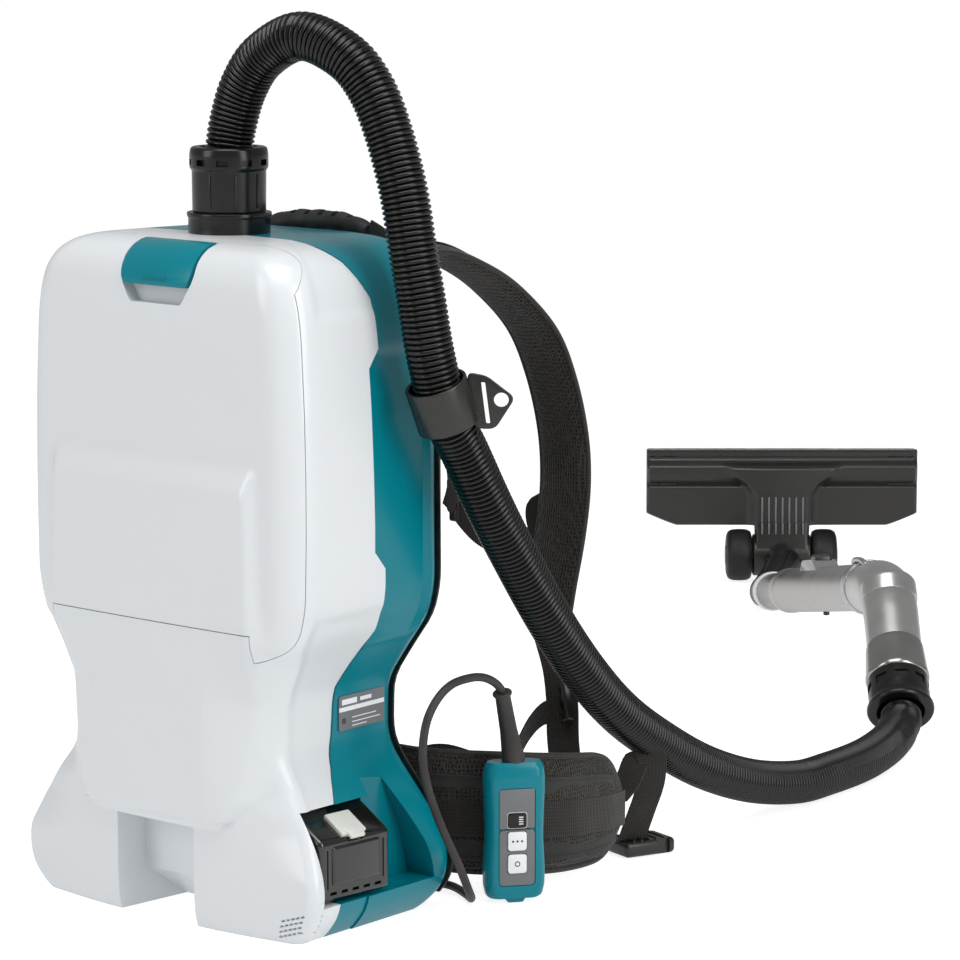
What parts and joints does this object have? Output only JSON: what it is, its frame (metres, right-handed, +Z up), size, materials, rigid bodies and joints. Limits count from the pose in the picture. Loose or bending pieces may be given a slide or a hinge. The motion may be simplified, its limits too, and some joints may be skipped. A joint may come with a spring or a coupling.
{
  "type": "backpack vacuum cleaner",
  "caption": "Battery backpack vacuum cleaner with corrugated hose, bent telescopic wand, wheeled floor head, remote control and padded harness.",
  "frame": {"origin": "centre of the machine body base, on the surface it stands on", "axes": "+Z up, -Y out of the front cover, +Y towards the wearer and the harness, +X towards the side with the remote control and the hose"},
  "size_m": [0.9471, 1.662, 0.6954],
  "materials": {
    "white_plastic": "glossy moulded ABS",
    "teal_plastic": "glossy moulded ABS",
    "black_plastic": "satin to glossy moulding",
    "black_rubber": "matt",
    "hose_plastic": "semi-gloss corrugated",
    "grey_pipe": "satin grey",
    "aluminium": "satin drawn tube",
    "off_white_plastic": "fine texture",
    "grey_plastic": "fine texture",
    "mesh_fabric": "padded spacer mesh",
    "webbing": "woven webbing",
    "filter_paper": "pleated fibre paper",
    "bag_cloth": "non-woven cloth",
    "circuit_board": "solder mask",
    "steel": "drawn sheet",
    "bristle": "nylon bristles"
  },
  "bodies": {
    "machine": {"front_housing": "white_plastic", "rear_housing": "teal_plastic", "back_plate": "black_plastic", "back_pad": "mesh_fabric", "lumbar_pad": "mesh_fabric", "inlet_flange": "black_plastic", "partition_wall": "black_plastic", "control_board": "circuit_board", "dust_bag": "bag_cloth", "bag_collar": "grey_plastic", "filter_frame": "grey_plastic", "exhaust_filter": "filter_paper", "motor_housing": "steel", "rating_label": "grey_plastic", "hose": "hose_plastic", "hose_clip": "black_plastic", "wand_socket": "black_plastic", "bent_pipe": "grey_pipe", "outer_tube": "aluminium", "remote_case": "teal_plastic", "remote_panel": "grey_plastic", "remote_strain_relief": "black_rubber", "remote_clip": "black_plastic", "remote_cable": "black_rubber", "cable_gland": "black_rubber", "carry_grip": "black_rubber", "grip_webbing_left": "webbing", "grip_webbing_right": "webbing", "shoulder_strap_left": "mesh_fabric", "shoulder_strap_right": "mesh_fabric", "strap_webbing_left": "webbing", "strap_webbing_right": "webbing", "belt_wing_left": "mesh_fabric", "belt_wing_right": "mesh_fabric", "belt_buckle_left": "black_plastic", "belt_buckle_right": "black_plastic", "chest_strap": "webbing"},
    "cover": {"front_cover": "white_plastic"},
    "latch": {"cover_latch": "teal_plastic"},
    "right_battery": {"battery_right": "black_plastic"},
    "right_battery_button": {"battery_button_right": "off_white_plastic"},
    "left_battery": {"battery_left": "black_plastic"},
    "left_battery_button": {"battery_button_left": "off_white_plastic"},
    "inlet_cuff": {"swivel_cuff": "black_plastic"},
    "fan": {"motor_shaft": "steel", "impeller": "black_plastic"},
    "hose_end": {"hose_end_cuff": "black_plastic"},
    "telescope": {"inner_tube": "aluminium", "tube_collar": "off_white_plastic"},
    "tube_slider": {"tube_release": "black_plastic"},
    "elbow": {"nozzle_elbow": "black_plastic"},
    "floor_head": {"nozzle_neck": "black_plastic", "nozzle_shell": "black_plastic", "nozzle_sole": "aluminium", "brush_strip": "bristle"},
    "left_wheel": {"wheel_left": "black_rubber"},
    "right_wheel": {"wheel_right": "black_rubber"},
    "light_key": {"light_button": "black_plastic"},
    "power_key": {"power_button": "off_white_plastic"},
    "stop_key": {"stop_button": "off_white_plastic"}
  },
  "joints": [
    {"name": "cover_hinge", "type": "hinge", "parent": "machine", "child": "cover", "pos_m": [0, -0.1, 0.238], "axis": [1, 0, 0], "range_deg": [0, 80]},
    {"name": "latch_hinge", "type": "hinge", "parent": "cover", "child": "latch", "pos_m": [0, -0.0665, 0.519], "axis": [-1, 0, 0], "range_deg": [0, 30]},
    {"name": "right_battery_slide", "type": "slide", "parent": "machine", "child": "right_battery", "axis": [1, 0, 0], "range_m": [0, 0.13]},
    {"name": "right_battery_press", "type": "slide", "parent": "right_battery", "child": "right_battery_button", "axis": [-0.53, 0, -0.848], "range_m": [0, 0.002], "stiffness_N_per_m": 600},
    {"name": "left_battery_slide", "type": "slide", "parent": "machine", "child": "left_battery", "axis": [-1, 0, 0], "range_m": [0, 0.13]},
    {"name": "left_battery_press", "type": "slide", "parent": "left_battery", "child": "left_battery_button", "axis": [0.53, 0, -0.848], "range_m": [0, 0.002], "stiffness_N_per_m": 600},
    {"name": "inlet_swivel", "type": "hinge", "parent": "machine", "child": "inlet_cuff", "pos_m": [0, -0.008, 0.555], "axis": [0, 0, 1], "continuous": true},
    {"name": "fan_spin", "type": "hinge", "parent": "machine", "child": "fan", "pos_m": [0, -0.008, 0.15], "axis": [0, 0, 1], "continuous": true},
    {"name": "hose_end_swivel", "type": "hinge", "parent": "machine", "child": "hose_end", "pos_m": [0.0265, 0.821, 0.0285], "axis": [-0.5293, 0.5575, 0.6395], "continuous": true},
    {"name": "tube_telescope", "type": "slide", "parent": "machine", "child": "telescope", "axis": [-0.7459, 0.6422, -0.1765], "range_m": [0, 0.25]},
    {"name": "tube_release_slide", "type": "slide", "parent": "machine", "child": "tube_slider", "axis": [-0.7459, 0.6422, -0.1765], "range_m": [0, 0.012], "stiffness_N_per_m": 400},
    {"name": "nozzle_swivel", "type": "hinge", "parent": "telescope", "child": "elbow", "pos_m": [-0.4915, 1.2825, 0.0225], "axis": [-0.7459, 0.6422, -0.1765], "range_deg": [-40, 40]},
    {"name": "nozzle_pitch", "type": "hinge", "parent": "elbow", "child": "floor_head", "pos_m": [-0.6121, 1.446, 0.0293], "axis": [0.7373, 0.6756, 0], "range_deg": [-85, 10]},
    {"name": "left_wheel_spin", "type": "hinge", "parent": "floor_head", "child": "left_wheel", "pos_m": [-0.6121, 1.446, 0.0293], "axis": [0.7373, 0.6756, 0], "continuous": true},
    {"name": "right_wheel_spin", "type": "hinge", "parent": "floor_head", "child": "right_wheel", "pos_m": [-0.6121, 1.446, 0.0293], "axis": [0.7373, 0.6756, 0], "continuous": true},
    {"name": "light_press", "type": "slide", "parent": "machine", "child": "light_key", "axis": [-0.8299, 0.5579, 0], "range_m": [0, 0.0012], "stiffness_N_per_m": 300},
    {"name": "power_press", "type": "slide", "parent": "machine", "child": "power_key", "axis": [-0.8299, 0.5579, 0], "range_m": [0, 0.0012], "stiffness_N_per_m": 300},
    {"name": "stop_press", "type": "slide", "parent": "machine", "child": "stop_key", "axis": [-0.8299, 0.5579, 0], "range_m": [0, 0.0012], "stiffness_N_per_m": 300}
  ]
}
